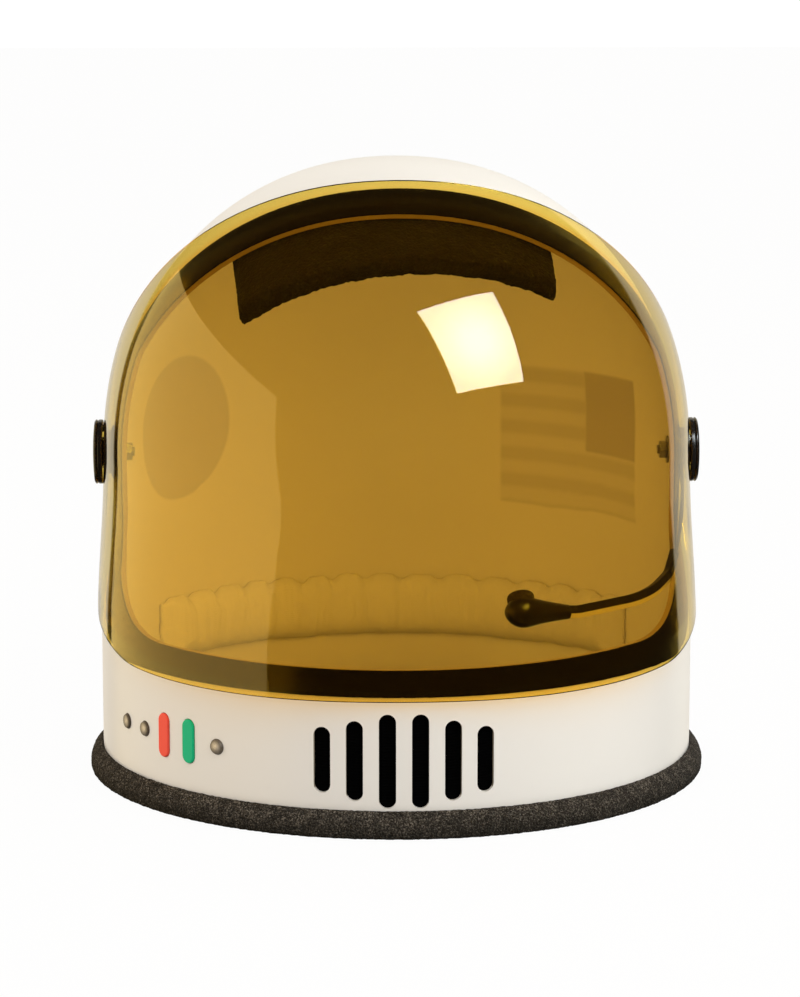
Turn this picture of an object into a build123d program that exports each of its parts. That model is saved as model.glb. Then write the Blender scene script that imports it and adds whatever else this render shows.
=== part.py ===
from build123d import *
import os
from math import asin, atan2, copysign, cos, hypot, pi, radians, sin, tan

os.makedirs("parts", exist_ok=True)

# Astronaut helmet with a swinging tinted visor and a microphone boom
# Millimetres, +Z up, the face looks to -Y, the wearer's left side is +X

# Shell
pivot_height = 138.5
shell_side = 122.5
shell_front = 128.0
shell_power = 2.1
rim_radius = 129.0
rim_power = 2.0
rim_height = 4.0
flare_top = 118.0
skirt_top = 60.0
wall = 1.8
pivot_flat = 0.4
boss_depth = 1.5
boss_radius = 13.0

# Face opening, seen from the side, measured forward of the pivot axis
opening_bottom = 69.5
opening_rise = 2.5
opening_setback = 43.0
cheek_height = 140.0
temple_lean = 6.5
brow_forward = 67.1
brow_height = 247.5
brow_lean = 25.5
chin_corner = 40.0
cheek_corner = 60.0
temple_corner = 12.0

# Black trim round the opening
trim_chin_width = 11.2
trim_rise = 0.5
trim_side_width = 21.0
trim_brow_width = 19.0
trim_thickness = 0.5

# Visor
visor_side = 127.2
visor_front = 134.0
visor_power = 2.15
visor_flare = 3.5
visor_foot_power = 2.3
visor_thickness = 1.6
visor_bottom = 57.3
visor_top_forward = 54.0
visor_top_height = 261.3
visor_ear_radius = 22.7
visor_chin_forward = 75.0
visor_chin_height = 60.9
visor_chin_corner = 100.0
visor_jaw_forward = 22.0
visor_jaw_height = 72.0
visor_jaw_corner = 25.0
ear_pad_radius = 13.0
ear_pad_inset = 0.4
ear_pad_proud = 0.2

# Pivot hardware
sleeve_radius = 5.0
screw_radius = 1.95
screw_head_radius = 3.8
screw_head_height = 1.1
screw_tip = 1.0
knob_radius = 14.0
knob_base_thickness = 2.1
knob_cap_thickness = 2.3
knob_edge = 0.6
knob_recess_radius = 7.5
knob_recess_depth = 1.3
cap_spigot_wall = 1.6
cap_spigot_length = 1.0
cap_dome_rise = 0.8
hub_radius = 11.5
hub_thickness = 1.7
friction_washer_radius = 9.5
friction_washer_thickness = 1.2
inner_washer_radius = 6.0
inner_washer_thickness = 0.8
nut_across_flats = 7.0
nut_height = 3.2

# Microphone boom, straight from the pivot seen from the side
boom_angle = 126.0
boom_width = 5.2
boom_blade = 1.3
boom_gap = 0.7
boom_root_reach = 16.0
boom_blade_reach = 75.0
boom_blade_bends = 5
boom_bar_start = 62.0
boom_bar_depth = 2.4
boom_bevel_depth = 1.5
boom_bevel_height = 1.9
boom_bar_roll = 35.0
boom_cheek_radius = 12.0
boom_bend_radius = 45.0
boom_bend_point = (103.0, -79.0, 89.0)
boom_neck_radius = 16.0
boom_neck_point = (72.0, -98.5, 87.0)
boom_tail = 4.0
mic_length = 28.0
mic_radius = 6.4
mic_neck_radius = 2.9
mic_shoulder_drop = 0.8
mic_shoulder_slope = 0.15
mic_spigot_radius = 1.2
mic_socket = 3.0
mic_heading = (-1.0, -0.36, 0.08)
capsule_radius = 5.6
capsule_length = 8.0
capsule_edge = 1.6
capsule_setback = 7.5
capsule_heading = (-0.1, 0.62, 0.78)

# Vent slots in the front of the skirt
slot_count = 6
slot_pitch = 6.0
slot_width = 7.0
slot_longest = 39.3
slot_step = 5.9
slot_height = 31.5
screen_margin = 5.0
screen_thickness = 1.0
screen_gap = 0.15

# Indicators on the wearer's right of the skirt
indicator_height = 32.0
lens_width = 6.5
lens_length = 18.7
lens_flange = 1.4
lens_flange_depth = 1.0
lens_proud = 0.9
lens_edge = 0.6
red_azimuth = -50.1
green_azimuth = -43.3
stud_azimuths = (-63.5, -56.4, -36.4)
stud_radius = 3.4
stud_rise = 1.0
stud_shank = 1.5
stud_tail_radius = 2.6
stud_tail_depth = 0.8
stud_taper = 30.0

# Patches on the back of the shell
round_patch_azimuth = -128.0
round_patch_radius = 32.5
round_patch_height = 137.0
stripe_patch_azimuth = 136.5
stripe_patch_width = 82.0
stripe_patch_height = 64.0
stripe_patch_middle = 128.0
stripe_patch_corner = 2.0
patch_reach = 60.0

# Foam parts
neck_trim_outer = 134.6
neck_trim_inner = 120.5
neck_trim_height = 11.0
neck_trim_shoulder = 6.5
neck_trim_lip = 130.4
neck_trim_corners = (3.0, 1.6, 8.0, 0.5, 5.0)
forehead_thickness = 9.0
forehead_width = 132.0
forehead_length = 58.0
forehead_lean = 29.8
forehead_corner = 6.0
forehead_turn = 4.5
forehead_shift = 3.0
crown_radius = 48.0
crown_setback = 22.0
crown_thickness = 9.0
neck_pad_start = 122.0
neck_pad_low = 30.0
neck_pad_high = 59.0
neck_pad_thickness = 9.0
neck_pad_lobes = 15
neck_pad_dip_radius = 4.5
neck_pad_edge = 3.0

# Clearances and overruns
fit_gap = 0.06
face_gap = 0.05
soft_gap = 0.3
insert_gap = 0.25
bond_gap = 0.05
overrun = 30.0

# Counts used for the formula curves
arch_steps = 14
level_count = 7


def arch_points(side, front, power):
    """Points of half a rounded oval, from one side over the front to the other."""
    points = []
    for step in range(arch_steps + 1):
        angle = pi * step / arch_steps
        across = copysign(abs(cos(angle)) ** (2 / power), -cos(angle))
        forward = max(sin(angle), 0) ** (2 / power)
        points.append((side * across, front * forward))
    return points


def oval(side, front, power):
    """Closed rounded oval made of two matching halves."""
    points = arch_points(side, front, power)
    with BuildSketch() as outline:
        with BuildLine():
            Spline(*[(x, -y) for x, y in points])
            Spline(*points)
        make_face()
    return outline.sketch


def helmet_form(side, front, power, foot_side, foot_front, foot_power, flare, bottom):
    """Solid helmet form: a dome turned about the pivot axis over a flaring skirt."""
    top, end = flare
    with BuildPart() as form:
        with BuildSketch(Plane.XY.offset(pivot_height)):
            points = arch_points(side, front, power)
            with BuildLine():
                ridge = Spline(*[(x, -y) for x, y in points])
                Line(ridge @ 1, ridge @ 0)
            make_face()
        revolve(axis=Axis((0, 0, pivot_height), (-1, 0, 0)), revolution_arc=180)
        for level in range(level_count + 1):
            height = pivot_height + (end - pivot_height) * level / level_count
            share = min(max((top - height) / (top - end), 0), 1)
            share = share * share * (3 - 2 * share)
            level_side = side + (foot_side - side) * share
            level_front = front + (foot_front - front) * share
            with BuildSketch(Plane.XY.offset(height)):
                add(oval(level_side, level_front, power + (foot_power - power) * share))
        loft()
        with BuildSketch(Plane.XY.offset(end)):
            add(oval(foot_side, foot_front, foot_power))
        extrude(amount=bottom - end)
    return form.part


def shell_form(grow, bottom):
    """Helmet form that stands off the outer face of the shell by grow."""
    return helmet_form(
        shell_side + grow,
        shell_front + grow,
        shell_power,
        rim_radius + grow,
        rim_radius + grow,
        rim_power,
        (flare_top, skirt_top),
        bottom,
    )


def visor_form(grow):
    """Helmet form that stands off the outer face of the visor by grow."""
    return helmet_form(
        visor_side + grow,
        visor_front + grow,
        visor_power,
        visor_side + visor_flare + grow,
        visor_front + grow,
        visor_foot_power,
        (pivot_height, skirt_top),
        visor_bottom - overrun,
    )


def pivot_plane(hand, out):
    """Plane square to the pivot axis, out from the middle on the left (1) or right (-1)."""
    return Plane(origin=(hand * out, 0, pivot_height), x_dir=(0, hand, 0), z_dir=(hand, 0, 0))


def skirt_plane(azimuth, height, out):
    """Plane square to the radius at an azimuth, 0 at the front and 90 at the left."""
    around = radians(azimuth)
    return Plane(
        origin=(out * sin(around), -out * cos(around), height),
        x_dir=(cos(around), sin(around), 0),
        z_dir=(sin(around), -cos(around), 0),
    )


def face_outline(chin, rise, side, brow):
    """Face opening from the side, widened below, behind and above, rising towards the back."""
    low = opening_bottom - chin
    back = side - opening_setback
    temple_slope = tan(radians(temple_lean))
    brow_slope = tan(radians(brow_lean))
    brow_edge = brow / cos(radians(brow_lean)) - brow_forward
    temple_height = brow_edge - back + brow_height * brow_slope + cheek_height * temple_slope
    temple_height /= temple_slope + brow_slope
    temple_back = back + (temple_height - cheek_height) * temple_slope
    top = pivot_height + visor_front + overrun
    with BuildSketch() as outline:
        with BuildLine():
            edge = FilletPolyline(
                (-visor_front - overrun, low),
                (-visor_front, low),
                (back, low + rise),
                (back, cheek_height),
                (temple_back, temple_height),
                (brow_edge + (brow_height - top) * brow_slope, top),
                radius=(0, chin_corner, cheek_corner, temple_corner),
            )
            Polyline(edge @ 1, (-visor_front - overrun, top), edge @ 0)
        make_face()
    return outline.sketch


def shell_flank(forward, height):
    """Distance from the middle to the outer face of the shell's side wall."""
    share = min(max((flare_top - height) / (flare_top - skirt_top), 0), 1)
    share = share * share * (3 - 2 * share)
    side = shell_side + (rim_radius - shell_side) * share
    front = shell_front + (rim_radius - shell_front) * share
    power = shell_power + (rim_power - shell_power) * share
    return side * (1 - (forward / front) ** power) ** (1 / power)


# Places worked out from the sizes above
boss_face = shell_side - pivot_flat
boss_back = shell_side - wall - boss_depth
hub_face = boss_face + face_gap
washer_face = hub_face + hub_thickness + face_gap
ear_face = visor_side - visor_thickness - ear_pad_inset
ear_back = visor_side + ear_pad_proud
knob_face = ear_back + 2 * face_gap
knob_rim = knob_face + knob_base_thickness
knob_top = knob_rim + knob_cap_thickness
recess_floor = knob_rim - knob_recess_depth
inner_washer_face = boss_back - inner_washer_thickness
nut_face = inner_washer_face - nut_height
screw_end = nut_face - screw_tip
inner_radius = rim_radius - wall
sides = (("left", 1), ("right", -1))
pivot_axis = Axis((0, 0, pivot_height), (1, 0, 0))
form_foot = rim_height - overrun
slots = []
for number in range(slot_count):
    place = number - (slot_count - 1) / 2
    slots.append((place * slot_pitch, slot_longest - slot_step * (abs(place) - 0.5)))

# Shell: one moulding with the face opening, vent slots, indicator and pivot holes
with BuildPart() as helmet_shell:
    add(shell_form(0, rim_height))
    for name, hand in sides:
        with BuildSketch(pivot_plane(hand, boss_face)):
            Circle(boss_radius)
        extrude(amount=overrun, mode=Mode.SUBTRACT)
    with BuildPart(mode=Mode.PRIVATE) as hollow:
        add(shell_form(-wall, form_foot))
        for name, hand in sides:
            with BuildSketch(pivot_plane(hand, boss_back)):
                Circle(boss_radius)
            extrude(amount=overrun, mode=Mode.SUBTRACT)
    add(hollow.part, mode=Mode.SUBTRACT)
    with BuildSketch(Plane.YZ):
        add(face_outline(0, opening_rise, 0, 0))
    extrude(amount=shell_side + overrun, both=True, mode=Mode.SUBTRACT)
    for name, hand in sides:
        with BuildSketch(pivot_plane(hand, boss_back - overrun)):
            Circle(screw_radius + fit_gap)
        extrude(amount=2 * overrun, mode=Mode.SUBTRACT)
    for azimuth, length in slots:
        with BuildSketch(skirt_plane(azimuth, slot_height, inner_radius - overrun)):
            SlotOverall(length, slot_width, rotation=90)
        extrude(amount=2 * overrun, mode=Mode.SUBTRACT)
    for azimuth in (red_azimuth, green_azimuth):
        with BuildSketch(skirt_plane(azimuth, indicator_height, inner_radius - overrun)):
            SlotOverall(lens_length + 2 * insert_gap, lens_width + 2 * insert_gap, rotation=90)
        extrude(amount=2 * overrun, mode=Mode.SUBTRACT)
    for azimuth in stud_azimuths:
        with BuildSketch(skirt_plane(azimuth, indicator_height, inner_radius - overrun)):
            Circle(stud_shank + fit_gap)
        extrude(amount=2 * overrun, mode=Mode.SUBTRACT)
helmet_shell.part.label = "helmet_shell"

# Thin skin on the shell that the trim and the patches are cut from
with BuildPart() as skin:
    add(shell_form(bond_gap + trim_thickness, skirt_top / 2))
    add(shell_form(bond_gap, form_foot), mode=Mode.SUBTRACT)

# Black trim on the outer face of the shell round the face opening
with BuildPart() as face_opening_trim:
    add(skin.part)
    with BuildPart(mode=Mode.PRIVATE) as surround:
        with BuildSketch(Plane.YZ):
            add(face_outline(trim_chin_width, trim_rise, trim_side_width, trim_brow_width))
            add(face_outline(0, opening_rise, 0, 0), mode=Mode.SUBTRACT)
        extrude(amount=shell_side + overrun, both=True)
    add(surround.part, mode=Mode.INTERSECT)
face_opening_trim.part.label = "face_opening_trim"

# Visor: thin tinted bubble that ends in a round ear with a flat pad at each pivot
top_reach = hypot(visor_top_forward, visor_top_height - pivot_height)
top_run = (top_reach ** 2 - visor_ear_radius ** 2) ** 0.5
top_lean = atan2(visor_top_forward, visor_top_height - pivot_height)
top_lean += asin(visor_ear_radius / top_reach)
jaw_reach = hypot(visor_jaw_forward, pivot_height - visor_jaw_height)
jaw_run = (jaw_reach ** 2 - visor_ear_radius ** 2) ** 0.5
jaw_lean = atan2(visor_jaw_forward, pivot_height - visor_jaw_height)
jaw_lean += asin(visor_ear_radius / jaw_reach)
visor_far = visor_front + overrun
with BuildPart() as visor:
    add(visor_form(0))
    with BuildPart(mode=Mode.PRIVATE) as bubble:
        add(visor_form(-visor_thickness))
    add(bubble.part, mode=Mode.SUBTRACT)
    with BuildPart(mode=Mode.PRIVATE) as side_view:
        with BuildSketch(Plane.YZ):
            with BuildLine():
                edge = FilletPolyline(
                    (
                        sin(top_lean) * top_run - visor_top_forward,
                        visor_top_height - cos(top_lean) * top_run,
                    ),
                    (
                        sin(jaw_lean) * jaw_run - visor_jaw_forward,
                        visor_jaw_height + cos(jaw_lean) * jaw_run,
                    ),
                    (-visor_jaw_forward, visor_jaw_height),
                    (-visor_chin_forward, visor_chin_height),
                    (-visor_front, visor_bottom),
                    (-visor_far, visor_bottom),
                    radius=(0, visor_jaw_corner, visor_chin_corner, 0),
                )
                Polyline(
                    edge @ 1,
                    (-visor_far, visor_top_height + visor_far),
                    (
                        -visor_top_forward - sin(top_lean) * visor_far,
                        visor_top_height + cos(top_lean) * visor_far,
                    ),
                    edge @ 0,
                )
            make_face()
            with Locations((0, pivot_height)):
                Circle(visor_ear_radius)
        extrude(amount=visor_side + overrun, both=True)
    add(side_view.part, mode=Mode.INTERSECT)
    for name, hand in sides:
        with BuildSketch(pivot_plane(hand, ear_face)):
            Circle(ear_pad_radius)
        extrude(amount=ear_back - ear_face)
        with BuildSketch(pivot_plane(hand, ear_face - overrun)):
            Circle(sleeve_radius + fit_gap)
        extrude(amount=2 * overrun, mode=Mode.SUBTRACT)
visor.part.label = "visor"

export_step(helmet_shell.part, "parts/helmet_shell.step")
export_step(face_opening_trim.part, "parts/face_opening_trim.step")
export_step(visor.part, "parts/visor.step")

# Pivot hardware, the same on both sides: screw from outside, nut inside, knob between
for name, hand in sides:
    with BuildPart() as knob_base:
        with BuildSketch(pivot_plane(hand, knob_face)):
            Circle(knob_radius)
        extrude(amount=knob_base_thickness)
        fillet(knob_base.edges().filter_by(GeomType.CIRCLE), knob_edge)
        with BuildSketch(pivot_plane(hand, boss_face)):
            Circle(sleeve_radius)
        extrude(amount=knob_face - boss_face + knob_edge)
        with BuildSketch(pivot_plane(hand, recess_floor)):
            Circle(knob_recess_radius)
        extrude(amount=overrun, mode=Mode.SUBTRACT)
        with BuildSketch(pivot_plane(hand, boss_face - overrun)):
            Circle(screw_radius + fit_gap)
        extrude(amount=2 * overrun, mode=Mode.SUBTRACT)
    knob_base.part.label = f"knob_base_{name}"
    export_step(knob_base.part, f"parts/knob_base_{name}.step")

    spigot = knob_recess_radius - fit_gap
    dome_reach = knob_radius - knob_edge
    dome_radius = (dome_reach ** 2 + cap_dome_rise ** 2) / (2 * cap_dome_rise)
    dome_turn = asin(dome_reach / dome_radius) / 2
    with BuildPart() as knob_cap:
        with BuildSketch(Plane.XZ):
            with BuildLine():
                Polyline(
                    (hand * knob_top, pivot_height),
                    (hand * knob_rim, pivot_height),
                    (hand * knob_rim, pivot_height + knob_radius - knob_edge),
                    (hand * (knob_rim + knob_edge), pivot_height + knob_radius),
                    (hand * (knob_top - cap_dome_rise - knob_edge), pivot_height + knob_radius),
                    (hand * (knob_top - cap_dome_rise), pivot_height + knob_radius - knob_edge),
                )
                ThreePointArc(
                    (hand * (knob_top - cap_dome_rise), pivot_height + knob_radius - knob_edge),
                    (
                        hand * (knob_top - dome_radius * (1 - cos(dome_turn))),
                        pivot_height + dome_radius * sin(dome_turn),
                    ),
                    (hand * knob_top, pivot_height),
                )
            make_face()
        revolve(axis=pivot_axis)
        with BuildSketch(pivot_plane(hand, knob_rim - cap_spigot_length)):
            Circle(spigot)
            Circle(spigot - cap_spigot_wall, mode=Mode.SUBTRACT)
        extrude(amount=cap_spigot_length + knob_edge)
    knob_cap.part.label = f"knob_cap_{name}"
    export_step(knob_cap.part, f"parts/knob_cap_{name}.step")

    with BuildPart() as pivot_screw:
        with BuildSketch(pivot_plane(hand, recess_floor)):
            Circle(screw_head_radius)
        extrude(amount=screw_head_height)
        with BuildSketch(pivot_plane(hand, screw_end)):
            Circle(screw_radius)
        extrude(amount=recess_floor - screw_end)
    pivot_screw.part.label = f"pivot_screw_{name}"
    export_step(pivot_screw.part, f"parts/pivot_screw_{name}.step")

    with BuildPart() as pivot_nut:
        with BuildSketch(pivot_plane(hand, nut_face)):
            RegularPolygon(nut_across_flats / 2, 6, major_radius=False)
            Circle(screw_radius + fit_gap, mode=Mode.SUBTRACT)
        extrude(amount=nut_height)
    pivot_nut.part.label = f"pivot_nut_{name}"
    export_step(pivot_nut.part, f"parts/pivot_nut_{name}.step")

    with BuildPart() as inner_washer:
        with BuildSketch(pivot_plane(hand, inner_washer_face)):
            Circle(inner_washer_radius)
            Circle(screw_radius + fit_gap, mode=Mode.SUBTRACT)
        extrude(amount=inner_washer_thickness)
    inner_washer.part.label = f"inner_washer_{name}"
    export_step(inner_washer.part, f"parts/inner_washer_{name}.step")

    with BuildPart() as friction_washer:
        with BuildSketch(pivot_plane(hand, washer_face)):
            Circle(friction_washer_radius)
            Circle(sleeve_radius + fit_gap, mode=Mode.SUBTRACT)
        extrude(amount=friction_washer_thickness)
    friction_washer.part.label = f"friction_washer_{name}"
    export_step(friction_washer.part, f"parts/friction_washer_{name}.step")

# Spacer on the right that takes the place of the boom's hub
with BuildPart() as pivot_spacer_right:
    with BuildSketch(pivot_plane(-1, hub_face)):
        Circle(hub_radius)
        Circle(sleeve_radius + fit_gap, mode=Mode.SUBTRACT)
    extrude(amount=hub_thickness)
pivot_spacer_right.part.label = "pivot_spacer_right"
export_step(pivot_spacer_right.part, "parts/pivot_spacer_right.step")

# Microphone boom: hub on the left pivot, flat blade in the gap, bevelled bar in the opening
boom_turn = radians(boom_angle)
boom_plane = Plane(
    origin=(0, 0, pivot_height),
    x_dir=(1, 0, 0),
    z_dir=(0, -cos(boom_turn), -sin(boom_turn)),
)
boom_stand_off = bond_gap + trim_thickness + boom_gap + boom_blade / 2


def blade_centre(reach):
    """Distance from the middle to the middle of the blade, which keeps clear of the trim."""
    flank = shell_flank(reach * sin(boom_turn), pivot_height + reach * cos(boom_turn))
    return flank + boom_stand_off


def blade_point(reach):
    """Point in space on the middle line of the blade."""
    forward = reach * sin(boom_turn)
    return Vector(blade_centre(reach), -forward, pivot_height + reach * cos(boom_turn))


blade_root = hub_face + hub_thickness - boom_blade / 2
blade_line = [(blade_root, sleeve_radius + fit_gap + boom_blade)]
blade_line.append((blade_root, friction_washer_radius))
for step in range(boom_blade_bends + 1):
    reach = boom_root_reach + (boom_blade_reach - boom_root_reach) * step / boom_blade_bends
    blade_line.append((blade_centre(reach), reach))
bar_half = boom_bar_depth / 2
mic_axis = Vector(*mic_heading).normalized()
mic_root = Vector(*boom_neck_point) + mic_axis * boom_tail
with BuildPart() as mic_boom:
    with BuildSketch(pivot_plane(1, hub_face)):
        Circle(hub_radius)
    extrude(amount=hub_thickness)
    with BuildSketch(boom_plane):
        with BuildLine():
            Spline(*blade_line)
        trace(line_width=boom_blade)
    extrude(amount=boom_width / 2, both=True)
    with BuildSketch(pivot_plane(1, hub_face - overrun)):
        Circle(sleeve_radius + fit_gap)
    extrude(amount=2 * overrun, mode=Mode.SUBTRACT)
    with BuildLine():
        route = FilletPolyline(
            blade_point(boom_bar_start),
            blade_point(boom_blade_reach),
            boom_bend_point,
            boom_neck_point,
            mic_root,
            radius=(boom_cheek_radius, boom_bend_radius, boom_neck_radius),
        )
    with BuildSketch(Plane(origin=route @ 0, x_dir=(1, 0, 0), z_dir=route % 0)):
        Polygon(
            (-bar_half, -boom_width / 2),
            (bar_half - boom_bevel_depth, -boom_width / 2),
            (bar_half, boom_bevel_height - boom_width / 2),
            (bar_half, boom_width / 2),
            (-bar_half, boom_width / 2),
            rotation=boom_bar_roll,
            align=None,
        )
    sweep(path=route)
    with BuildSketch(Plane(origin=mic_root - mic_axis * mic_socket, z_dir=mic_axis)):
        Circle(mic_spigot_radius)
    extrude(amount=2 * mic_socket)
mic_boom.part.label = "mic_boom"
export_step(mic_boom.part, "parts/mic_boom.step")

# Microphone: teardrop housing on the end of the boom, capsule pressed into its inner side
capsule_axis = Vector(*capsule_heading).normalized()
capsule_root = mic_root + mic_axis * (mic_length - capsule_setback)
capsule_plane = Plane(origin=capsule_root, z_dir=capsule_axis)
mic_plane = Plane(origin=mic_root, x_dir=mic_axis, z_dir=mic_axis.cross(Vector(0, 0, 1)))
with BuildPart() as mic_housing:
    with BuildSketch(mic_plane):
        with BuildLine():
            belly = Spline(
                (0, mic_neck_radius),
                (mic_length - 2 * mic_radius, mic_radius - mic_shoulder_drop),
                (mic_length - mic_radius, mic_radius),
                (mic_length, 0),
                tangents=((1, mic_shoulder_slope), (0, -1)),
            )
            Polyline(belly @ 1, (0, 0), belly @ 0)
        make_face()
    revolve(axis=Axis(mic_root, mic_axis))
    with BuildSketch(Plane(origin=mic_root, z_dir=mic_axis)):
        Circle(mic_spigot_radius + fit_gap)
    extrude(amount=mic_socket + face_gap, mode=Mode.SUBTRACT)
    with BuildSketch(capsule_plane):
        Circle(capsule_radius + fit_gap)
    extrude(amount=overrun, mode=Mode.SUBTRACT)
mic_housing.part.label = "mic_housing"
export_step(mic_housing.part, "parts/mic_housing.step")

with BuildPart() as mic_capsule:
    with BuildSketch(capsule_plane.offset(face_gap)):
        Circle(capsule_radius)
    extrude(amount=capsule_length)
    fillet(mic_capsule.faces().sort_by(Axis(mic_root, capsule_axis))[-1].edges(), capsule_edge)
mic_capsule.part.label = "mic_capsule"
export_step(mic_capsule.part, "parts/mic_capsule.step")

# Dark screen behind the vent slots
screen_outer = inner_radius - screen_gap
screen_turn = radians(slot_pitch * (slot_count - 1) / 2)
screen_turn += (slot_width / 2 + screen_margin) / screen_outer
screen_low = neck_trim_height + soft_gap
screen_high = slot_height + slot_longest / 2 + screen_margin
with BuildPart() as vent_screen:
    with BuildSketch(Plane.XY.offset(screen_low)):
        Circle(screen_outer)
        Circle(screen_outer - screen_thickness, mode=Mode.SUBTRACT)
        with BuildLine():
            wedge_reach = screen_outer + overrun
            Polyline(
                (0, 0),
                (wedge_reach * sin(screen_turn), -wedge_reach * cos(screen_turn)),
                (-wedge_reach * sin(screen_turn), -wedge_reach * cos(screen_turn)),
                close=True,
            )
        make_face(mode=Mode.INTERSECT)
    extrude(amount=screen_high - screen_low)
vent_screen.part.label = "vent_screen"
export_step(vent_screen.part, "parts/vent_screen.step")

# Red and green indicator lenses, each pushed through from inside up to its flange
lens_seat = (inner_radius ** 2 - (lens_width / 2 + lens_flange) ** 2) ** 0.5 - bond_gap
for name, azimuth in (("indicator_red", red_azimuth), ("indicator_green", green_azimuth)):
    with BuildPart() as indicator:
        with BuildSketch(skirt_plane(azimuth, indicator_height, lens_seat)):
            SlotOverall(lens_length, lens_width, rotation=90)
        extrude(amount=rim_radius + lens_proud - lens_seat)
        outward = Axis((0, 0, indicator_height), skirt_plane(azimuth, 0, 0).z_dir)
        fillet(indicator.faces().sort_by(outward)[-1].edges(), lens_edge)
        with BuildSketch(skirt_plane(azimuth, indicator_height, lens_seat - lens_flange_depth)):
            SlotOverall(lens_length + 2 * lens_flange, lens_width + 2 * lens_flange, rotation=90)
        extrude(amount=lens_flange_depth)
    indicator.part.label = name
    export_step(indicator.part, f"parts/{name}.step")

# Three metal studs, riveted through the wall
stud_seat = (inner_radius ** 2 - stud_tail_radius ** 2) ** 0.5 - bond_gap
with BuildPart() as indicator_studs:
    for azimuth in stud_azimuths:
        with BuildSketch(skirt_plane(azimuth, indicator_height, stud_seat - stud_tail_depth)):
            Circle(stud_tail_radius)
        extrude(amount=stud_tail_depth)
        with BuildSketch(skirt_plane(azimuth, indicator_height, stud_seat)):
            Circle(stud_shank)
        extrude(amount=rim_radius - stud_seat)
        with BuildSketch(skirt_plane(azimuth, indicator_height, rim_radius)):
            Circle(stud_radius)
        extrude(amount=stud_rise, taper=stud_taper)
indicator_studs.part.label = "indicator_studs"
export_step(indicator_studs.part, "parts/indicator_studs.step")

# Round patch on the right rear and striped patch on the left rear
with BuildPart() as round_patch:
    add(skin.part)
    with BuildPart(mode=Mode.PRIVATE) as round_cut:
        with BuildSketch(skirt_plane(round_patch_azimuth, round_patch_height, patch_reach)):
            Circle(round_patch_radius)
        extrude(amount=rim_radius)
    add(round_cut.part, mode=Mode.INTERSECT)
round_patch.part.label = "round_patch"
export_step(round_patch.part, "parts/round_patch.step")

with BuildPart() as stripe_patch:
    add(skin.part)
    with BuildPart(mode=Mode.PRIVATE) as stripe_cut:
        with BuildSketch(skirt_plane(stripe_patch_azimuth, stripe_patch_middle, patch_reach)):
            RectangleRounded(stripe_patch_width, stripe_patch_height, stripe_patch_corner)
        extrude(amount=rim_radius)
    add(stripe_cut.part, mode=Mode.INTERSECT)
stripe_patch.part.label = "stripe_patch"
export_step(stripe_patch.part, "parts/stripe_patch.step")

# Foam strip round the rim, with a groove that takes the shell's edge
with BuildPart() as neck_trim:
    with BuildSketch(Plane.XZ):
        with BuildLine():
            FilletPolyline(
                (neck_trim_inner, 0),
                (neck_trim_outer, 0),
                (neck_trim_outer, neck_trim_shoulder),
                (neck_trim_lip, neck_trim_height),
                (neck_trim_inner, neck_trim_height),
                close=True,
                radius=neck_trim_corners,
            )
        make_face()
        with BuildLine():
            Polyline(
                (inner_radius - soft_gap, rim_height - soft_gap),
                (rim_radius + soft_gap, rim_height - soft_gap),
                (rim_radius + soft_gap, neck_trim_height + overrun),
                (inner_radius - soft_gap, neck_trim_height + overrun),
                close=True,
            )
        make_face(mode=Mode.SUBTRACT)
    revolve(axis=Axis.Z)
neck_trim.part.label = "neck_trim"
export_step(neck_trim.part, "parts/neck_trim.step")

# Foam pads that lie on the inside of the dome
pad_face = shell_form(-wall - soft_gap, form_foot)
with BuildPart() as forehead_pad:
    add(pad_face)
    forehead_back = -wall - soft_gap - forehead_thickness
    add(shell_form(forehead_back, form_foot - overrun), mode=Mode.SUBTRACT)
    with BuildPart(mode=Mode.PRIVATE) as forehead_cut:
        lean = radians(forehead_lean)
        forehead_plane = Plane(
            origin=(0, 0, pivot_height),
            x_dir=(1, 0, 0),
            z_dir=(0, -sin(lean), cos(lean)),
        )
        with BuildSketch(forehead_plane):
            with Locations(Location((-forehead_shift, 0), forehead_turn)):
                RectangleRounded(forehead_width, forehead_length, forehead_corner)
        extrude(amount=shell_front)
    add(forehead_cut.part, mode=Mode.INTERSECT)
forehead_pad.part.label = "forehead_pad"
export_step(forehead_pad.part, "parts/forehead_pad.step")

with BuildPart() as crown_pad:
    add(pad_face)
    crown_back = -wall - soft_gap - crown_thickness
    add(shell_form(crown_back, form_foot - overrun), mode=Mode.SUBTRACT)
    with BuildPart(mode=Mode.PRIVATE) as crown_cut:
        with BuildSketch(Plane.XY.offset(pivot_height)):
            with Locations((0, crown_setback)):
                Circle(crown_radius)
        extrude(amount=shell_front)
    add(crown_cut.part, mode=Mode.INTERSECT)
crown_pad.part.label = "crown_pad"
export_step(crown_pad.part, "parts/crown_pad.step")

# Gathered pad round the back of the neck
pad_outer = inner_radius - soft_gap
pad_turn = 360 - 2 * neck_pad_start
lobe_turn = pad_turn / neck_pad_lobes
with BuildPart() as rear_neck_pad:
    start = radians(neck_pad_start)
    start_plane = Plane(
        origin=(0, 0, 0),
        x_dir=(sin(start), -cos(start), 0),
        z_dir=(-cos(start), -sin(start), 0),
    )
    with BuildSketch(start_plane):
        with Locations((pad_outer - neck_pad_thickness / 2, (neck_pad_low + neck_pad_high) / 2)):
            RectangleRounded(neck_pad_thickness, neck_pad_high - neck_pad_low, neck_pad_edge)
    revolve(axis=Axis.Z, revolution_arc=pad_turn)
    for lobe in range(1, neck_pad_lobes):
        azimuth = neck_pad_start + lobe * lobe_turn
        with BuildSketch(skirt_plane(azimuth, neck_pad_high, pad_outer - overrun)):
            Circle(neck_pad_dip_radius)
        extrude(amount=2 * overrun, mode=Mode.SUBTRACT)
rear_neck_pad.part.label = "rear_neck_pad"
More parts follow.
